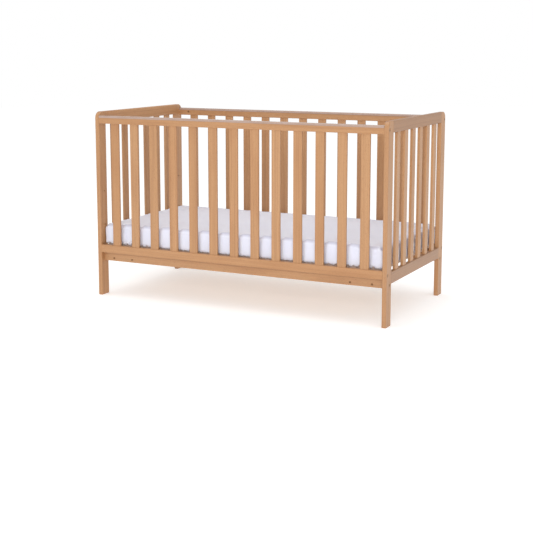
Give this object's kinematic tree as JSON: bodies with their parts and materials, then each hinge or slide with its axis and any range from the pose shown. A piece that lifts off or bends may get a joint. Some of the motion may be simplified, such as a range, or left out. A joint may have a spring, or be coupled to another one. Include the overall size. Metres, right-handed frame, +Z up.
{
  "type": "baby crib",
  "caption": "Baby crib with slatted wooden sides and ends, plastic teething rails, a bolted height-adjustable slatted base and a covered mattress.",
  "frame": {"origin": "centre of the footprint on the floor, under the middle of the crib", "axes": "+X along the crib's length, +Y from the front side to the back side, +Z up"},
  "size_m": [1.445, 0.745, 0.864],
  "materials": {
    "frame_wood": "satin",
    "base_wood": "matte",
    "teething_plastic": "satin",
    "steel": "satin",
    "mattress_cover": "matte"
  },
  "bodies": {
    "frame": {"leg_front_left": "frame_wood", "leg_front_right": "frame_wood", "leg_back_left": "frame_wood", "leg_back_right": "frame_wood", "left_end_top_rail": "frame_wood", "left_end_bottom_rail": "frame_wood", "left_end_slat_1": "frame_wood", "left_end_slat_2": "frame_wood", "left_end_slat_3": "frame_wood", "left_end_slat_4": "frame_wood", "left_end_slat_5": "frame_wood", "left_end_slat_6": "frame_wood", "right_end_top_rail": "frame_wood", "right_end_bottom_rail": "frame_wood", "right_end_slat_1": "frame_wood", "right_end_slat_2": "frame_wood", "right_end_slat_3": "frame_wood", "right_end_slat_4": "frame_wood", "right_end_slat_5": "frame_wood", "right_end_slat_6": "frame_wood", "front_top_rail": "frame_wood", "front_bottom_rail": "frame_wood", "front_slat_01": "frame_wood", "front_slat_02": "frame_wood", "front_slat_03": "frame_wood", "front_slat_04": "frame_wood", "front_slat_05": "frame_wood", "front_slat_06": "frame_wood", "front_slat_07": "frame_wood", "front_slat_08": "frame_wood", "front_slat_09": "frame_wood", "front_slat_10": "frame_wood", "front_slat_11": "frame_wood", "front_slat_12": "frame_wood", "front_slat_13": "frame_wood", "back_top_rail": "frame_wood", "back_bottom_rail": "frame_wood", "back_slat_01": "frame_wood", "back_slat_02": "frame_wood", "back_slat_03": "frame_wood", "back_slat_04": "frame_wood", "back_slat_05": "frame_wood", "back_slat_06": "frame_wood", "back_slat_07": "frame_wood", "back_slat_08": "frame_wood", "back_slat_09": "frame_wood", "back_slat_10": "frame_wood", "back_slat_11": "frame_wood", "back_slat_12": "frame_wood", "back_slat_13": "frame_wood", "front_teething_rail": "teething_plastic", "back_teething_rail": "teething_plastic", "leg_bolts": "steel", "side_barrel_nuts": "steel"},
    "base": {"base_front_rail": "frame_wood", "base_back_rail": "frame_wood", "base_cross_rails": "base_wood", "base_slats": "base_wood", "base_fasteners": "steel"},
    "mattress": {"mattress": "mattress_cover"}
  },
  "joints": [
    {"name": "base_height", "type": "slide", "parent": "frame", "child": "base", "axis": [0, 0, 1], "range_m": [0, 0.316]},
    {"name": "mattress_lift", "type": "slide", "parent": "base", "child": "mattress", "axis": [0, 0, 1], "range_m": [0, 0.66]}
  ]
}
